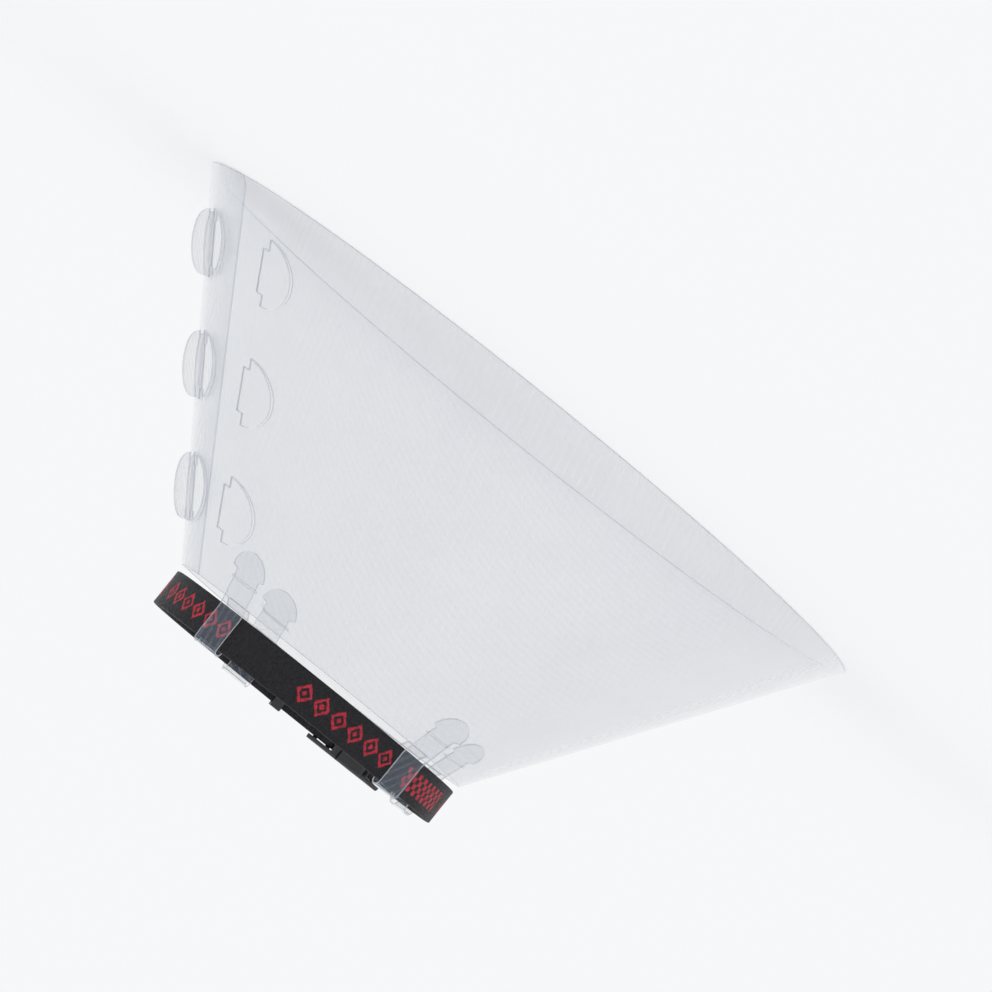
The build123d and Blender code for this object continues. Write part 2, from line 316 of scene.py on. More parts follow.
# ---------------------------------------------------------------- meshes
def make_object(name, points, faces, materials, uv=None, kinds=None, sharp=35.0):
    """A mesh object, with a UV for each point and a material number for each face."""
    mesh = bpy.data.meshes.new(name)
    mesh.from_pydata([tuple(p) for p in points], [], [tuple(int(i) for i in f) for f in faces])
    for material in materials:
        mesh.materials.append(material)
    if kinds is not None:
        mesh.polygons.foreach_set("material_index", np.asarray(kinds, np.int32))
    if uv is not None:
        layer = mesh.uv_layers.new(name="flat")
        index = np.empty(len(mesh.loops), np.int32)
        mesh.loops.foreach_get("vertex_index", index)
        layer.data.foreach_set("uv", np.asarray(uv, np.float32)[index].ravel())
    mesh.shade_smooth()
    mesh.set_sharp_from_angle(angle=radians(sharp))
    mesh.validate()
    obj = bpy.data.objects.new(name, mesh)
    bpy.context.scene.collection.objects.link(obj)
    return obj


def make_plate(name, flat, triangles, middle, normals, materials):
    """A closed plate of the sheet's thickness about its middle surface, ribbed on both faces."""
    count = len(flat)
    half = sheet_thickness / 2 - rib_height * (1 - ridge(flat))
    points = np.concatenate((middle + normals * half[:, None], middle - normals * half[:, None]))
    sides = np.concatenate((triangles[:, (0, 1)], triangles[:, (1, 2)], triangles[:, (2, 0)]))
    key = np.sort(sides, axis=1)
    _, first, repeats = np.unique(key, axis=0, return_index=True, return_counts=True)
    rim = sides[first[repeats == 1]]
    walls = np.stack((rim[:, 1], rim[:, 0], rim[:, 0] + count, rim[:, 1] + count), axis=1)
    faces = [*triangles, *(triangles[:, ::-1] + count), *walls]
    kinds = [0] * (2 * len(triangles)) + [1] * len(walls)
    uv = np.concatenate((flat, flat)) / rib_pitch
    return make_object(name, points, faces, materials, uv, kinds)


def wind_up(flat, triangles):
    """The triangles, all wound so that they face out of the cone."""
    a, b, c = (flat[triangles[:, k]] for k in range(3))
    area = (b[:, 0] - a[:, 0]) * (c[:, 1] - a[:, 1]) - (b[:, 1] - a[:, 1]) * (c[:, 0] - a[:, 0])
    flipped = area < 0
    triangles[flipped] = triangles[flipped][:, ::-1]
    return triangles


# ---------------------------------------------------------------- cut-outs and tongues
def mushroom(angle, slant, gap):
    """A tongue's outline, with its hinge line at an angle on the cone."""
    barb = tongue_neck_length - gap
    half_neck = tongue_neck_width / 2 + gap
    half_head = tongue_head_width / 2 + gap
    reach = tongue_head_length + 2 * gap
    swing = [pi * k / head_steps for k in range(head_steps + 1)]
    head = [(barb + reach * sin(t), half_head * cos(t)) for t in swing]
    corners = [(0, half_neck), (barb, half_neck), head[0]]
    before = walk(corners, cut_step, close=False)[:-1]
    after = [(x, -y) for x, y in reversed(before)]
    hinge = walk([after[-1], before[0]], cut_step, close=False)[1:-1]
    return [flat_point(angle, slant, x, y) for x, y in before + head + after + hinge]


def row_slant(row):
    """Distance along the slant from the neck edge to the middle of a row of tongues."""
    return first_row + row * row_pitch


def make_tongue(name, body, angle, row, lift, materials):
    """A tongue in its layer, bent up about its hinge line, in place of its CAD node, which is hidden.
    """
    slant = row_slant(row)
    loop = mushroom(angle, slant, 0.0)
    flat, triangles = triangulate([loop])
    triangles = wind_up(flat, triangles)
    middle, normals = rolled(flat)
    hinge, out = (v[0] for v in rolled(np.array([flat_point(angle, slant)])))
    ahead = np.array((sin(radians(angle)), -cos(radians(angle)), 0.0))
    up = np.cross(out, ahead)
    offset = middle - hinge
    along, across, rise = offset @ ahead, offset @ up, offset @ out
    turn = radians(lift) * np.clip(along / bend_length, 0, 1)
    bent = np.minimum(along, bend_length)
    curl = np.where(turn > 1e-6, bent / np.maximum(turn, 1e-6), 0.0)
    x = np.where(turn > 1e-6, curl * np.sin(turn), along)
    z = np.where(turn > 1e-6, curl * (1 - np.cos(turn)), 0.0)
    beyond = np.maximum(along - bend_length, 0.0)
    x = np.where(turn > 1e-6, x + beyond * np.cos(turn), x)
    z = z + beyond * np.sin(turn)
    x, z = x - rise * np.sin(turn), z + rise * np.cos(turn)
    middle = hinge + x[:, None] * ahead + across[:, None] * up + z[:, None] * out
    spun_x = (normals @ ahead) * np.cos(turn) - (normals @ out) * np.sin(turn)
    spun_z = (normals @ ahead) * np.sin(turn) + (normals @ out) * np.cos(turn)
    normals = spun_x[:, None] * ahead + (normals @ up)[:, None] * up + spun_z[:, None] * out
    tongue = make_plate(name, flat, triangles, middle, normals, materials)
    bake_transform(tongue)
    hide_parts(body)


def slit(angle):
    """The cut that a loop's tab passes through."""
    half = slit_width / 2
    corners = [(-half, -slit_half_gap), (half, -slit_half_gap), (half, slit_half_gap)]
    corners.append((-half, slit_half_gap))
    return [flat_point(angle, slot_slant, x, y) for x, y in walk(corners, cut_step / 2)]


def sheet_outline():
    """The blank's outline: neck edge, outer end, rim and inner end, with rounded rim corners."""
    start, end = flat_turn(inner_end), flat_turn(outer_end)

    def arc(rho, first, last, step):
        count = max(2, round(abs(last - first) * rho / step))
        turns = [first + (last - first) * k / count for k in range(count + 1)]
        return [(rho * sin(turn), rho * cos(turn)) for turn in turns]

    def corner(turn, side):
        """The rounded corner between the rim and an end, from the rim side to the end side."""
        inset = asin(corner_radius / (rim_rho - corner_radius))
        about = turn + side * inset
        centre = ((rim_rho - corner_radius) * sin(about), (rim_rho - corner_radius) * cos(about))
        swing = [about - side * (pi / 2) * k / corner_steps for k in range(corner_steps + 1)]
        return inset, [
            (centre[0] + corner_radius * sin(t), centre[1] + corner_radius * cos(t)) for t in swing
        ]

    inset, end_corner = corner(end, -1)
    _, start_corner = corner(start, 1)
    neck = arc(neck_rho, start, end, neck_edge_step)
    rim = arc(rim_rho, end - inset, start + inset, rim_edge_step)
    up_end = walk([neck[-1], end_corner[-1]], end_edge_step, close=False)
    down_start = walk([start_corner[-1], neck[0]], end_edge_step, close=False)
    return neck + up_end[1:-1] + end_corner[::-1] + rim[1:-1] + start_corner + down_start[1:-1]


def spread_lips(flat, normals):
    """How the sheet gives at the slits: inwards above a tab, and outwards below it."""
    push = np.zeros(len(flat))
    for angle in loop_angles:
        x0, y0 = flat_point(angle, slot_slant)
        turn = flat_turn(angle)
        down = (flat[:, 0] - x0) * sin(turn) + (flat[:, 1] - y0) * cos(turn)
        aside = (flat[:, 0] - x0) * cos(turn) - (flat[:, 1] - y0) * sin(turn)
        fade = np.clip(1 - np.abs(down) / lip_reach, 0, 1)
        width = np.clip((loop_head_width / 2 - np.abs(aside)) / lip_fade, 0, 1)
        push += np.sign(down) * lip_spread * fade**2 * (3 - 2 * fade) * width**2 * (3 - 2 * width)
    return normals * push[:, None]


def score_line():
    """The spare column's score line, as its two edges with the groove's middle between them."""
    lines = [[], [], []]
    count = int((slant_length - 2 * score_margin) / score_step)
    for slant in (score_margin + k * score_step for k in range(count)):
        apart = min(abs(slant - row_slant(row)) for row in range(rows))
        if apart > tongue_neck_width / 2 + score_clearance:
            for line, side in zip(lines, (-1, 0, 1)):
                line.append(flat_point(spare_angle + 360, slant, side * score_half_width))
    return lines


def make_cone(materials):
    """The rolled sheet, with its cut-outs, slits and score line."""
    loops = [sheet_outline()]
    for row in range(rows):
        for angle in (closure_angle, closure_angle + 360, spare_angle + 360):
            loops.append(mushroom(angle, row_slant(row), tongue_gap))
    loops += [slit(angle) for angle in loop_angles]
    score = score_line()
    flat, triangles = triangulate(loops, score)
    triangles = wind_up(flat, triangles)
    middle, normals = rolled(flat)
    groove = distances(flat, score[1]) < 1e-6
    middle = middle + spread_lips(flat, normals) - normals * (groove * score_depth)[:, None]
    cone = make_plate("cone_skin", flat, triangles, middle, normals, materials)
    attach(cone, "cone")
    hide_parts("cone_sheet")


# ---------------------------------------------------------------- neck loops
def neck_edge_radius(angle):
    """Distance from the Z axis to the middle of the sheet at the neck edge."""
    outer = angle >= junction
    centre = (0.0 if outer else -arc_step, arc_step / 2)
    grow = arc_step / 2 if outer else -arc_step / 2
    a = radians(angle)
    along = centre[0] * cos(a) + centre[1] * sin(a)
    aside = -centre[0] * sin(a) + centre[1] * cos(a)
    return along + sqrt((neck_radius + grow) ** 2 - aside**2)


def smooth_path(corners, radii, step):
    """Points, about a step apart, along straight runs with a round bend at each inner corner."""
    points = [np.array(corners[0], float)]
    for k, radius in enumerate(radii, 1):
        before, at, after = (np.array(corners[i], float) for i in (k - 1, k, k + 1))
        a, b = before - at, after - at
        a, b = a / np.linalg.norm(a), b / np.linalg.norm(b)
        half = np.arccos(np.clip(a @ b, -1, 1)) / 2
        reach = radius / np.tan(half)
        centre = at + (a + b) / np.linalg.norm(a + b) * radius / np.sin(half)
        first, last = at + a * reach - centre, at + b * reach - centre
        sweep = pi - 2 * half
        count = max(2, round(radius * sweep / step))
        side = np.sign(first[0] * last[1] - first[1] * last[0])
        points += [centre + turned(first, side * sweep * i / count) for i in range(count + 1)]
    points.append(np.array(corners[-1], float))
    filled = [points[0]]
    for p in points[1:]:
        count = max(1, round(np.linalg.norm(p - filled[-1]) / step))
        last = filled[-1]
        filled += [last + (p - last) * i / count for i in range(1, count + 1)]
    return np.array(filled)


def turned(vector, angle):
    """A plane vector turned by an angle in radians."""
    c, s = np.cos(angle), np.sin(angle)
    return np.array((vector[0] * c - vector[1] * s, vector[0] * s + vector[1] * c))


def make_strip(name, angle, path, widths, start, roundness, materials):
    """A strip of the sheet that follows a path of (radius, z) points at an angle.

    widths gives its half width at each point, start is the flat distance from the neck edge to the
    first point, and roundness, from 0 to 1, is how far it curves with the neck across its width.
    """
    travel = np.concatenate(([0], np.cumsum(np.linalg.norm(np.diff(path, axis=0), axis=1))))
    tangent = np.gradient(path, travel, axis=0)
    tangent /= np.linalg.norm(tangent, axis=1)[:, None]
    across = np.linspace(-1, 1, across_steps + 1)
    turn = flat_turn(angle)
    flat, middle, normals = [], [], []
    a = radians(angle)
    out, side = np.array((cos(a), sin(a), 0)), np.array((-sin(a), cos(a), 0))
    for k, (r, z) in enumerate(path):
        for w in across:
            y = w * widths[k]
            swing = y / r * roundness[k]
            sink = r * (1 - cos(swing)) if roundness[k] else 0.0
            middle.append(out * (r - sink) + side * y + np.array((0, 0, z)))
            outward = out * cos(swing) + side * sin(swing)
            normals.append(outward * tangent[k, 1] - np.array((0, 0, tangent[k, 0])))
            rho = neck_rho - start - travel[k]
            flat.append((rho * sin(turn) + y * cos(turn), rho * cos(turn) - y * sin(turn)))
    width = across_steps + 1
    triangles = []
    for k in range(len(path) - 1):
        for i in range(across_steps):
            p = k * width + i
            triangles += [(p, p + 1, p + width + 1), (p, p + width + 1, p + width)]
    strip = make_plate(
        name, np.array(flat), np.array(triangles), np.array(middle), np.array(normals), materials
    )
    return strip, travel[-1]


def loop_route(angle):
    """The strip's path from the neck edge to the head's tip, as (radius, z), in three runs."""
    edge = neck_edge_radius(angle)
    slot_r, slot_z = edge + slot_slant * sin_half, cone_height - slot_slant * cos_half
    middle_r, bend = (inner_leg + outer_leg) / 2, (outer_leg - inner_leg) / 2
    run = hypot(slot_r - outer_leg, slot_z - flare_z)
    lean = ((slot_r - outer_leg) / run, (slot_z - flare_z) / run)
    past_slot = (slot_r + dive_length * lean[0], slot_z + dive_length * lean[1])
    tip_slant = slot_slant + barb_reach + loop_head_length
    tip_r = edge + tip_slant * sin_half - head_depth * cos_half
    tip_z = cone_height - tip_slant * cos_half - head_depth * sin_half
    up = smooth_path(
        [(edge, cone_height), (inner_leg, crease_z), (inner_leg, loop_bend_z)],
        [crease_radius],
        loop_step,
    )
    swing = [pi * k / turn_steps for k in range(1, turn_steps)]
    over = np.array([(middle_r - bend * cos(t), loop_bend_z + bend * sin(t)) for t in swing])
    down = smooth_path(
        [(outer_leg, loop_bend_z), (outer_leg, flare_z), past_slot, (tip_r, tip_z)],
        [flare_radius, dive_radius],
        loop_step,
    )
    return up, over, down


def make_loop(number, angle, materials):
    """A loop as two abutting strips: the band, which stays on the cone, and the tab, which opens."""
    up, over, down = loop_route(angle)
    half = loop_width / 2
    middle_r = (inner_leg + outer_leg) / 2
    stays = [p for p in over if p[0] < middle_r or p[1] > split_z]
    band_path = np.array([*up, *stays])
    tab_path = np.array([stays[-1], *over[len(stays) :], *down])
    widths, round_all = np.full(len(band_path), half), np.ones(len(band_path))
    band, length = make_strip(
        f"loop_band_skin_{number}", angle, band_path, widths, 0.0, round_all, materials
    )
    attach(band, "cone")
    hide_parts(f"loop_band_{number}")
    travel = np.concatenate(([0], np.cumsum(np.linalg.norm(np.diff(tab_path, axis=0), axis=1))))
    head_start = travel[-1] - loop_head_length
    beyond = np.clip((travel - head_start) / loop_head_length, 0, 1)
    widths = np.where(travel < head_start, half, loop_head_width / 2 * np.sqrt(1 - beyond**2))
    widths = np.maximum(widths, tip_half_width)
    fade = np.clip(1 - travel / flatten_length, 0, 1)
    tab, _ = make_strip(
        f"loop_tab_skin_{number}", angle, tab_path, widths, length, fade, materials
    )
    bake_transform(tab)
    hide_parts(f"loop_tab_{number}")


# ---------------------------------------------------------------- webbing
def polar(radius, angle):
    """A plane point at a radius and an angle in degrees."""
    return np.array((radius * cos(radians(angle)), radius * sin(radians(angle))))


def half_turn(angle, first, towards):
    """Points round a bar, from the first radius to the other side, by way of the given side."""
    centre = polar(bar_centre, angle)
    out, ahead = polar(1, angle), polar(1, angle + 90) * towards
    sign = 1 if first > bar_centre else -1
    swing = [pi * k / turn_steps for k in range(1, turn_steps)]
    return [centre + wrap_radius * (sign * out * cos(t) + ahead * sin(t)) for t in swing]


def hermite(start, end, go, arrive):
    """Points along a smooth curve between two points with given directions, both ends left out."""
    length = np.linalg.norm(end - start)
    points = []
    for k in range(1, curve_steps):
        t = k / curve_steps
        points.append(
            (2 * t**3 - 3 * t**2 + 1) * start
            + (t**3 - 2 * t**2 + t) * length * go
            + (3 * t**2 - 2 * t**3) * end
            + (t**3 - t**2) * length * arrive
        )
    return points


def neck_arc(radius, start, end):
    """Points round the neck, about a strap_step apart."""
    count = max(2, round(radius * radians(abs(end - start)) / strap_step))
    return [polar(radius, start + (end - start) * k / count) for k in range(count + 1)]


def strap_path():
    """The webbing's middle line from above: tail, plug bar, the ring, socket bar and turn-back."""
    outer = bar_centre + wrap_radius
    tail = neck_arc(tail_radius, tail_end, tail_dip)
    rise = hermite(
        tail[-1],
        polar(outer, plug_bar_angle),
        polar(1, tail_dip + 90),
        polar(1, plug_bar_angle + 90),
    )
    ring = neck_arc(strap_radius, plug_bar_angle, socket_bar_angle - 360)
    fall = hermite(
        polar(outer, socket_bar_angle),
        polar(turnback_radius, sewn_start),
        polar(1, socket_bar_angle + 90),
        polar(1, sewn_start + 90),
    )
    sewn = neck_arc(turnback_radius, sewn_start, turnback_end)
    plug = [polar(outer, plug_bar_angle), *half_turn(plug_bar_angle, outer, 1)]
    socket = [*half_turn(socket_bar_angle, strap_radius, -1), polar(outer, socket_bar_angle)]
    return np.array([*tail, *rise, *plug, *ring, *socket, *fall, *sewn])


def webbing_section():
    """Half the webbing's outline as (across, out) points, closed, with full round selvedges."""
    half_width, half = strap_width / 2, strap_thickness / 2
    belly, reach = half * belly_share, half * selvedge_share
    face = []
    for k in range(face_steps + 1):
        y = -half_width + reach + (strap_width - 2 * reach) * k / face_steps
        edge = max(0.0, 1 - (half_width - abs(y)) / selvedge_width)
        face.append((y, belly + (half - belly) * edge * edge))
    swing = [pi * k / selvedge_steps for k in range(1, selvedge_steps)]
    turn = [(half_width - reach + reach * sin(t), half * cos(t)) for t in swing]
    return [*face, *turn, *[(-y, -z) for y, z in face], *[(-y, -z) for y, z in turn]]


def make_webbing(material):
    """The strap as one ribbon of webbing, sealed and a little thinner at both ends."""
    path = strap_path()
    travel = np.concatenate(([0], np.cumsum(np.linalg.norm(np.diff(path, axis=0), axis=1))))
    count = round(travel[-1] / strap_step)
    even = np.linspace(0, travel[-1], count + 1)
    path = np.stack([np.interp(even, travel, path[:, k]) for k in range(2)], axis=1)
    tangent = np.gradient(path, even, axis=0)
    tangent /= np.linalg.norm(tangent, axis=1)[:, None]
    out = np.stack((tangent[:, 1], -tangent[:, 0]), axis=1)
    section = webbing_section()
    centre_z = strap_low + strap_width / 2
    points, uv = [], []
    size = len(section)
    for k in range(count + 1):
        thick, wide = (end_thickness, end_width) if k in (0, count) else (1.0, 1.0)
        for y, z in section:
            p = path[k] + out[k] * z * thick
            points.append((p[0], p[1], centre_z + y * wide))
            uv.append((even[k], y + (motif_face_offset if z < 0 else 0.0)))
    faces, kinds = [], []
    for k in range(count):
        for i in range(size):
            j = (i + 1) % size
            faces.append((k * size + i, k * size + j, (k + 1) * size + j, (k + 1) * size + i))
    faces.append(tuple(range(size - 1, -1, -1)))
    faces.append(tuple(count * size + i for i in range(size)))
    strap = make_object("neck_strap_webbing", points, faces, [material], np.array(uv), None, 50)
    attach(strap, "strap")
    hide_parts("neck_strap")


def make_stitching(material):
    """Rows of stitches across the turn-back, each sinking into the webbing at its ends."""
    surface = turnback_radius + strap_thickness / 2 * belly_share
    first, last = strap_low + stitch_margin, strap_low + strap_width - stitch_margin
    pitch = (last - first) / stitch_count
    points, faces = [], []
    for angle in stitch_angles:
        for n in range(stitch_count):
            base = len(points)
            for k in range(stitch_steps + 1):
                t = k / stitch_steps
                z = first + (n + (1 - stitch_share) / 2 + stitch_share * t) * pitch
                rise = stitch_rise * sin(pi * t) ** 0.6 if 0 < t < 1 else -stitch_sink
                girth = thread_radius * (stitch_end_girth if k in (0, stitch_steps) else 1.0)
                a = radians(angle) + stitch_slant * (t - 0.5) / surface
                for i in range(thread_sides):
                    b = 2 * pi * i / thread_sides
                    r = surface + rise + girth * cos(b)
                    aside = girth * sin(b) * thread_flatness / surface
                    points.append((r * cos(a + aside), r * sin(a + aside), z))
            for k in range(stitch_steps):
                for i in range(thread_sides):
                    p, j = base + k * thread_sides, (i + 1) % thread_sides
                    faces.append((p + i, p + j, p + thread_sides + j, p + thread_sides + i))
            faces.append(tuple(base + i for i in range(thread_sides - 1, -1, -1)))
            faces.append(tuple(base + stitch_steps * thread_sides + i for i in range(thread_sides)))
    stitches = make_object("turnback_thread", points, faces, [material], np.array(points)[:, :2])
    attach(stitches, "strap")
    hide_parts("turnback_stitching")


# ---------------------------------------------------------------- mouldings
def make_moulding(node, body, material):
    """A buckle or keeper moulding: the CAD node's own shape, with the small radii of its tool."""
    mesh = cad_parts[node].data.copy()
    mesh.name = f"{node}_moulding"
    shape = bmesh.new()
    shape.from_mesh(mesh)
    bmesh.ops.remove_doubles(shape, verts=shape.verts, dist=1e-6)
    limit = radians(moulding_crisp_angle)
    crisp = [e for e in shape.edges if len(e.link_faces) == 2 and e.calc_face_angle() > limit]
    bmesh.ops.bevel(
        shape,
        geom=crisp,
        offset=moulding_radius,
        offset_type="OFFSET",
        segments=3,
        profile=0.5,
        affect="EDGES",
        clamp_overlap=True,
    )
    shape.to_mesh(mesh)
    shape.free()
    mesh.materials.clear()
    mesh.materials.append(material)
    mesh.shade_smooth()
    mesh.set_sharp_from_angle(angle=radians(38))
    moulding = bpy.data.objects.new(mesh.name, mesh)
    bpy.context.scene.collection.objects.link(moulding)
    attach(moulding, body)
    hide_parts(node)


# ---------------------------------------------------------------- materials
class Nodes:
    """Short calls for building a node material."""

    def __init__(self, name):
        self.material = bpy.data.materials.new(name)
        self.material.use_nodes = True
        self.tree = self.material.node_tree
        self.tree.nodes.clear()
        self.output = self.tree.nodes.new("ShaderNodeOutputMaterial")

    def add(self, kind, values=(), **settings):
        """A node with its sockets set or linked to values, and its own settings."""
        node = self.tree.nodes.new(kind)
        for key, value in settings.items():
            setattr(node, key, value)
        for socket, value in dict(values).items():
            self.put(node.inputs[socket], value)
        return node

    def put(self, socket, value):
        """Links a socket to another, or sets it to a plain value."""
        if isinstance(value, bpy.types.NodeSocket):
            self.tree.links.new(value, socket)
        else:
            socket.default_value = value

    def math(self, operation, *values, clamp=False):
        """The outcome of one operation on sockets or numbers."""
        node = self.add("ShaderNodeMath", operation=operation, use_clamp=clamp)
        for socket, value in zip(node.inputs, values):
            self.put(socket, value)
        return node.outputs[0]

    def ramp(self, value, low, high, to_low=0.0, to_high=1.0):
        """A smooth step from to_low, at low, to to_high, at high."""
        ends = {"From Min": low, "From Max": high, "To Min": to_low, "To Max": to_high}
        node = self.add(
            "ShaderNodeMapRange", {"Value": value, **ends}, interpolation_type="SMOOTHSTEP"
        )
        return node.outputs["Result"]

    def mix(self, factor, a, b):
        """The colour between a and b."""
        node = self.add("ShaderNodeMix", data_type="RGBA")
        self.put(node.inputs["Factor"], factor)
        self.put(node.inputs[6], a)  # the colour socket A
        self.put(node.inputs[7], b)  # the colour socket B
        return node.outputs[2]

    def noise(self, scale, detail=3.0, vector=None, roughness=0.55):
        """Soft noise about 0.5, with its scale in cells to the metre."""
        values = {"Scale": scale, "Detail": detail, "Roughness": roughness}
        node = self.add("ShaderNodeTexNoise", values)
        if vector is not None:
            self.put(node.inputs["Vector"], vector)
        return node.outputs["Fac"]

    def place(self):
        """The point's place on the object, in metres."""
        return self.add("ShaderNodeTexCoord").outputs["Object"]

    def uv(self):
        """The two parts of the UV that make_object gives."""
        node = self.add("ShaderNodeUVMap", uv_map="flat")
        parts = self.add("ShaderNodeSeparateXYZ", {0: node.outputs["UV"]})
        return parts.outputs["X"], parts.outputs["Y"]

    def bump(self, height, strength, distance):
        """A normal that a height from 0 to 1 tilts, with its distance in metres."""
        values = {"Height": height, "Strength": strength, "Distance": distance}
        node = self.add("ShaderNodeBump", values)
        return node.outputs["Normal"]

    def glance(self, straight, grazing):
        """How much a thin sheet shines: the same from both sides, and most at a glancing angle."""
        facing = self.add("ShaderNodeLayerWeight", {"Blend": 0.5}).outputs["Facing"]
        rise = self.math("POWER", facing, 5.0)
        return self.math("ADD", self.math("MULTIPLY", rise, grazing - straight), straight)

    def finish(self, shader):
        """The material, with this shader as its surface."""
        self.tree.links.new(shader, self.output.inputs["Surface"])
        return self.material


def frosted_material():
    """Frosted polypropylene: clear, with a grey-blue haze, and a denser, whiter one along the ribs."""
    n = Nodes("frosted_sheet_ribbed")
    u, _ = n.uv()  # in rib pitches
    place = n.place()
    rib = n.ramp(n.math("PINGPONG", u, 0.5), 0.0, 0.15, 1.0, 0.0)
    line = n.ramp(n.math("PINGPONG", n.math("MULTIPLY", u, 4.0), 0.5), 0.0, 0.5, 1.0, 0.0)
    cloud = n.noise(38.0, 3.0, place)
    grain = n.noise(1400.0, 2.0, place)
    uneven = n.math("ADD", n.math("MULTIPLY", cloud, 0.03), n.math("MULTIPLY", grain, 0.02))
    striped = n.math("ADD", n.math("MULTIPLY", rib, 0.05), n.math("MULTIPLY", line, 0.012))
    opacity = n.math("ADD", n.math("ADD", uneven, striped), 0.036)
    colour = n.mix(rib, (0.20, 0.29, 0.44, 1), (0.60, 0.66, 0.75, 1))
    normal = n.bump(n.math("ADD", n.math("MULTIPLY", grain, 0.3), cloud), 0.12, 0.0002)
    hazy = n.add("ShaderNodeBsdfDiffuse", {"Color": colour, "Roughness": 0.6, "Normal": normal})
    clear = n.add("ShaderNodeBsdfTransparent", {"Color": (0.995, 0.993, 0.987, 1)})
    body = n.add("ShaderNodeMixShader", {0: opacity, 1: clear.outputs[0], 2: hazy.outputs[0]})
    gloss = {"Color": (1, 1, 1, 1), "Roughness": 0.36, "Normal": normal}
    shine = n.add("ShaderNodeBsdfGlossy", gloss)
    amount = n.glance(0.02, 0.75)
    coated = n.add("ShaderNodeMixShader", {0: amount, 1: body.outputs[0], 2: shine.outputs[0]})
    return n.finish(coated.outputs[0])


def cut_edge_material():
    """The cut edge, where the haze gathers into a fine whitish line."""
    n = Nodes("sheet_cut_edge")
    place = n.place()
    burr = n.noise(900.0, 2.0, place)
    hazy = n.add("ShaderNodeBsdfDiffuse", {"Color": (0.62, 0.65, 0.69, 1), "Roughness": 0.4})
    clear = n.add("ShaderNodeBsdfTransparent", {"Color": (0.99, 0.99, 0.985, 1)})
    opacity = n.math("ADD", n.math("MULTIPLY", burr, 0.25), 0.5, clamp=True)
    body = n.add("ShaderNodeMixShader", {0: opacity, 1: clear.outputs[0], 2: hazy.outputs[0]})
    shine = n.add("ShaderNodeBsdfGlossy", {"Color": (1, 1, 1, 1), "Roughness": 0.25})
    amount = n.glance(0.04, 0.9)
    coated = n.add("ShaderNodeMixShader", {0: amount, 1: body.outputs[0], 2: shine.outputs[0]})
    return n.finish(coated.outputs[0])


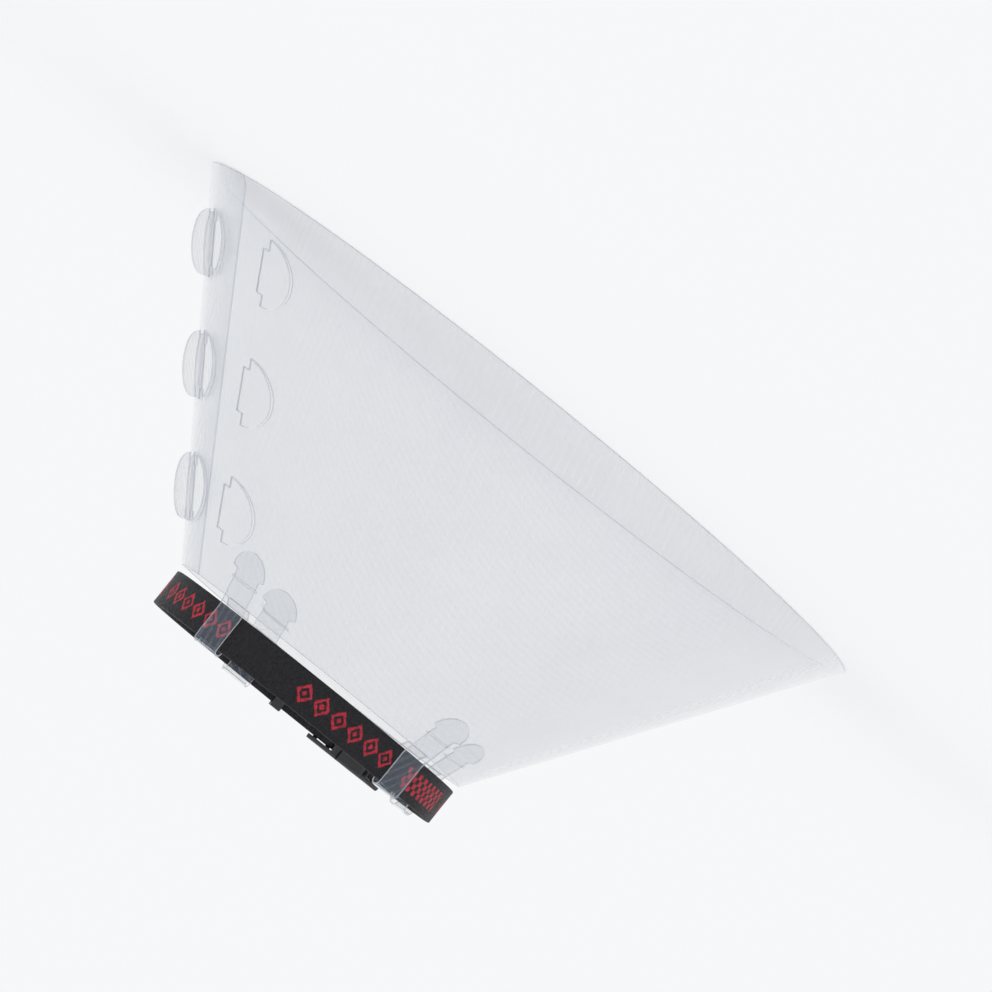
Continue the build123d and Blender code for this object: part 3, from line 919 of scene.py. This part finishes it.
def webbing_material():
    """Black nylon webbing with a red woven motif of lozenges and checks, in groups."""
    n = Nodes("webbing_weave")
    pick = 0.00052  # the weave's cell along and across the webbing
    cell = 0.008  # the motif's pitch
    half_motif = 0.0042
    s, w = n.uv()
    shift = 0.4 * motif_face_offset  # more than half the webbing's width
    turned_w = n.math("MODULO", n.math("ADD", w, shift), motif_face_offset)
    across = n.math("SUBTRACT", turned_w, shift)
    front = n.math("GREATER_THAN", w, shift)

    def snapped(value, size):
        """The middle of the woven cell that a value falls in."""
        whole = n.math("FLOOR", n.math("DIVIDE", value, size))
        return n.math("MULTIPLY", n.math("ADD", whole, 0.5), size)

    s_cell, w_cell = snapped(s, pick), snapped(across, pick)
    place = n.math("ADD", n.math("DIVIDE", s_cell, cell), 21.7)
    x = n.math("MULTIPLY", n.math("SUBTRACT", n.math("FRACT", place), 0.5), cell)
    number = n.math("FLOOR", n.math("MODULO", place, 22.0))
    ax, ay = n.math("ABSOLUTE", x), n.math("ABSOLUTE", w_cell)
    lozenge = n.math("ADD", n.math("DIVIDE", ax, 0.0036), n.math("DIVIDE", ay, 0.0043))
    outline = n.math("LESS_THAN", n.math("ABSOLUTE", n.math("SUBTRACT", lozenge, 0.82)), 0.17)
    heart = n.math("LESS_THAN", lozenge, 0.28)
    diamond = n.math("MAXIMUM", outline, heart)
    column = n.math("FLOOR", n.math("DIVIDE", s_cell, 0.002))
    level = n.math("FLOOR", n.math("DIVIDE", n.math("ADD", w_cell, half_motif), half_motif / 2))
    checks = n.math("MODULO", n.math("ADD", column, level), 2.0)
    checks = n.math("MULTIPLY", checks, n.math("LESS_THAN", ay, half_motif))

    def between(low, high):
        """Whether the motif's cell is one of those numbered from low to high."""
        above = n.math("GREATER_THAN", number, low - 0.5)
        return n.math("MULTIPLY", above, n.math("LESS_THAN", number, high + 0.5))

    diamonds = n.math("ADD", between(0, 5), between(10, 15))
    diamonds = n.math("MULTIPLY", diamond, diamonds)
    red = n.math("ADD", diamonds, n.math("MULTIPLY", checks, between(17, 20)))
    red = n.math("MULTIPLY", red, front, clamp=True)

    warp = n.math("PINGPONG", n.math("DIVIDE", across, pick), 0.5)
    row = n.math("FLOOR", n.math("DIVIDE", across, pick))
    odd = n.math("MULTIPLY", n.math("MODULO", n.math("ABSOLUTE", row), 2.0), 0.5)
    weft = n.math("PINGPONG", n.math("ADD", n.math("DIVIDE", s, pick * 2), odd), 0.5)
    weave = n.math("MULTIPLY", n.math("ADD", warp, 0.15), n.math("ADD", weft, 0.3))
    cell_vector = n.add("ShaderNodeCombineXYZ", {0: s_cell, 1: w_cell, 2: 0.0})
    values = {"Vector": cell_vector.outputs[0]}
    fibre = n.add("ShaderNodeTexWhiteNoise", values, noise_dimensions="3D")
    uneven = fibre.outputs["Value"]
    soft = n.noise(900.0, 3.0, n.place())
    black = n.mix(uneven, (0.006, 0.006, 0.0075, 1), (0.018, 0.018, 0.021, 1))
    scarlet = n.mix(uneven, (0.36, 0.012, 0.03, 1), (0.62, 0.035, 0.06, 1))
    colour = n.mix(red, black, scarlet)
    # painted shade: the colour drops to under half its value where the weave dips between its yarns
    shade = n.ramp(weave, 0.0, 0.32, 0.45, 1.0)
    hue = n.add("ShaderNodeHueSaturation", {"Value": shade, "Color": colour})
    height = n.math("ADD", weave, n.math("MULTIPLY", soft, 0.12))
    height = n.math("ADD", height, n.math("MULTIPLY", red, 0.12))
    normal = n.bump(height, 0.8, 0.0004)
    shader = n.add(
        "ShaderNodeBsdfPrincipled",
        {
            "Base Color": hue.outputs[0],
            "Roughness": n.ramp(soft, 0.3, 0.7, 0.5, 0.72),
            "Specular IOR Level": 0.25,
            "Sheen Weight": 0.02,
            "Sheen Roughness": 0.4,
            "Normal": normal,
        },
    )
    return n.finish(shader.outputs[0])


def thread_material():
    """Twisted black sewing thread."""
    n = Nodes("sewing_thread")
    place = n.place()
    parts = n.add("ShaderNodeSeparateXYZ", {0: place})
    slope = n.math("ADD", parts.outputs["Z"], n.math("MULTIPLY", parts.outputs["X"], 1.6))
    twist = n.math("PINGPONG", n.math("MULTIPLY", slope, 2600.0), 0.5)
    # painted shade and highlight: the colour darkens in the grooves of the twist and lightens on its
    # crests
    colour = n.mix(twist, (0.012, 0.012, 0.014, 1), (0.07, 0.07, 0.078, 1))
    normal = n.bump(twist, 0.7, 0.0002)
    shader = n.add(
        "ShaderNodeBsdfPrincipled",
        {"Base Color": colour, "Roughness": 0.5, "Sheen Weight": 0.1, "Normal": normal},
    )
    return n.finish(shader.outputs[0])


def moulded_material():
    """Black acetal with a fine spark-eroded grain, lighter and a little less rough along its convex
    edges.
    """
    n = Nodes("moulded_acetal")
    place = n.place()
    grain = n.noise(2600.0, 4.0, place, 0.7)
    flow = n.noise(120.0, 2.0, place)
    edge = n.add("ShaderNodeNewGeometry").outputs["Pointiness"]
    # lighter in colour and a little less rough along the convex edges
    convex_edge = n.ramp(edge, 0.52, 0.62)
    dark = n.mix(flow, (0.011, 0.011, 0.012, 1), (0.019, 0.019, 0.021, 1))
    colour = n.mix(n.math("MULTIPLY", convex_edge, 0.5), dark, (0.06, 0.06, 0.064, 1))
    rough = n.math("SUBTRACT", n.ramp(grain, 0.3, 0.7, 0.36, 0.56), n.math("MULTIPLY", convex_edge, 0.12))
    normal = n.bump(grain, 0.35, 0.00012)
    shader = n.add(
        "ShaderNodeBsdfPrincipled", {"Base Color": colour, "Roughness": rough, "Normal": normal}
    )
    return n.finish(shader.outputs[0])


# ---------------------------------------------------------------- stage, light and camera
def make_stage():
    """A pale floor that fades out into the pale surroundings, and soft lights from all round."""
    world = bpy.data.worlds.new("surroundings")
    bpy.context.scene.world = world
    world.use_nodes = True
    background = world.node_tree.nodes["Background"]
    background.inputs["Color"].default_value = surround_colour
    background.inputs["Strength"].default_value = 1.0

    n = Nodes("floor_paper")
    place = n.place()
    length = n.add("ShaderNodeVectorMath", {0: place}, operation="LENGTH").outputs["Value"]
    fade = n.ramp(length, 0.22, 0.85, 1.0, 0.002)
    tooth = n.noise(300.0, 3.0, place)
    colour = n.mix(tooth, (0.87, 0.87, 0.88, 1), (0.90, 0.90, 0.905, 1))
    paper = n.add("ShaderNodeBsdfDiffuse", {"Color": colour, "Roughness": 0.3})
    haze = n.add("ShaderNodeEmission", {"Color": surround_colour, "Strength": 1.0})
    faded = n.add("ShaderNodeMixShader", {0: fade, 1: haze.outputs[0], 2: paper.outputs[0]})
    material = n.finish(faded.outputs[0])
    material.cycles.emission_sampling = "NONE"
    spokes = [2 * pi * k / floor_sides for k in range(floor_sides)]
    points = [(floor_radius * cos(t), floor_radius * sin(t), -floor_drop) for t in spokes]
    floor = make_object("floor", points, [tuple(range(len(points)))], [material])

    for number, (spot, size, power) in enumerate(softboxes, 1):
        light = bpy.data.lights.new(f"softbox_{number}", "AREA")
        light.shape = "DISK"
        light.size = size
        light.energy = power
        lamp = bpy.data.objects.new(light.name, light)
        lamp.location = spot
        lamp.rotation_mode = "QUATERNION"
        lamp.rotation_quaternion = (Vector((0, 0, 0.06)) - Vector(spot)).to_track_quat("-Z", "Y")
        lamp.visible_camera = False
        bpy.context.scene.collection.objects.link(lamp)


def make_camera():
    """The camera, almost in the rim's plane and rolled so that the neck is at the lower left."""
    eye = Vector((0.019, -2.762, 0.191))
    target = Vector((-0.009, 0.0, 0.030))
    roll_up = Vector((0.626, 0.014, -0.780))
    back = (eye - target).normalized()
    right = roll_up.cross(back).normalized()
    up = back.cross(right)
    data = bpy.data.cameras.new("photographer")
    data.lens = 268
    data.sensor_width = 36
    data.clip_end = 60
    camera = bpy.data.objects.new("photographer", data)
    camera.matrix_world = Matrix((right, up, back)).transposed().to_4x4()
    camera.location = eye
    bpy.context.scene.collection.objects.link(camera)
    bpy.context.scene.camera = camera


# ---------------------------------------------------------------- the collar
make_camera()
make_stage()
bpy.context.scene.view_settings.view_transform = "Standard"
bpy.context.scene.cycles.transparent_max_bounces = 40
bpy.context.scene.cycles.max_bounces = 16

skin = [frosted_material(), cut_edge_material()]
make_cone(skin)
for row in range(rows):
    number = row + 1
    make_tongue(
        f"outer_tongue_skin_{number}",
        f"closure_tongue_outer_{number}",
        closure_angle + 360,
        row,
        outer_lift,
        skin,
    )
    make_tongue(
        f"inner_tongue_skin_{number}",
        f"closure_tongue_inner_{number}",
        closure_angle,
        row,
        inner_lift,
        skin,
    )
    make_tongue(
        f"spare_tongue_skin_{number}",
        f"spare_tongue_{number}",
        spare_angle + 360,
        row,
        spare_lift,
        skin,
    )
for number, angle in enumerate(loop_angles, 1):
    make_loop(number, angle, skin)
make_webbing(webbing_material())
make_stitching(thread_material())
moulded = moulded_material()
for node, body in moulding_bodies.items():
    make_moulding(node, body, moulded)
